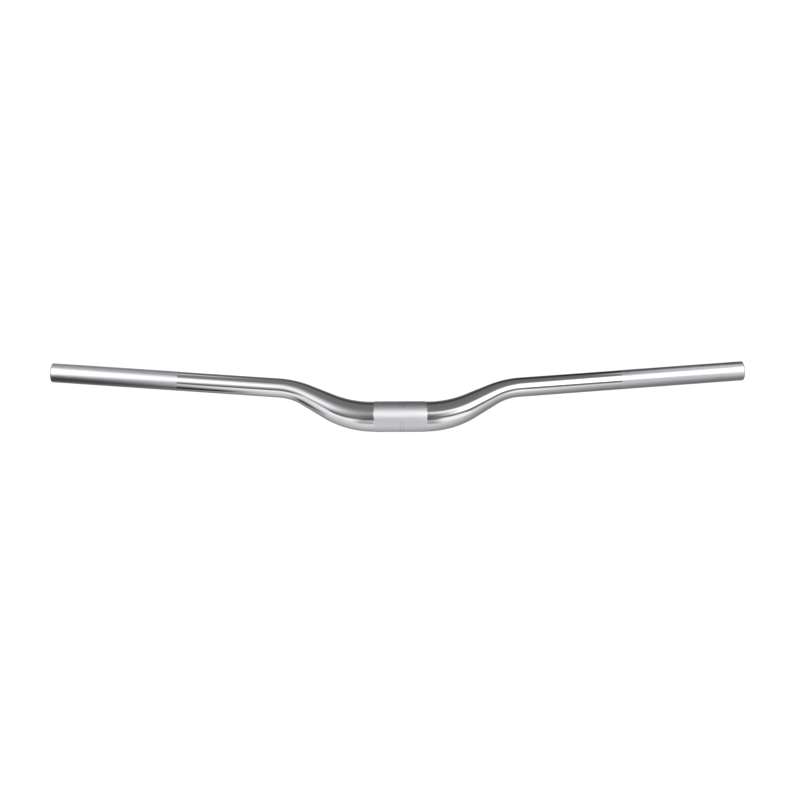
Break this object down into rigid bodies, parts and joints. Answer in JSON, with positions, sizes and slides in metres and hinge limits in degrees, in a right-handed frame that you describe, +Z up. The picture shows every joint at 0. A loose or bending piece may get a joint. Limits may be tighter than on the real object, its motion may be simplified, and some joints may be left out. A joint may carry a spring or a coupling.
{
  "type": "riser handlebar",
  "caption": "One-piece polished aluminium riser handlebar: a bent, tapered tube with a satin stem clamp seat, swept-back straight grips with satin ends, and open bores.",
  "frame": {"origin": "the middle of the stem clamp seat, on its axis", "axes": "+X along the clamp seat towards the rider's left, -Y ahead of the bicycle, +Z up; the grips sweep back towards +Y and up towards +Z"},
  "size_m": [0.8, 0.0774, 0.0853],
  "materials": {
    "polished_aluminium": "mirror polished, with a brushed satin clamp seat and brushed satin grip ends"
  },
  "bodies": {
    "root": {"handlebar": "polished_aluminium"}
  },
  "joints": []
}
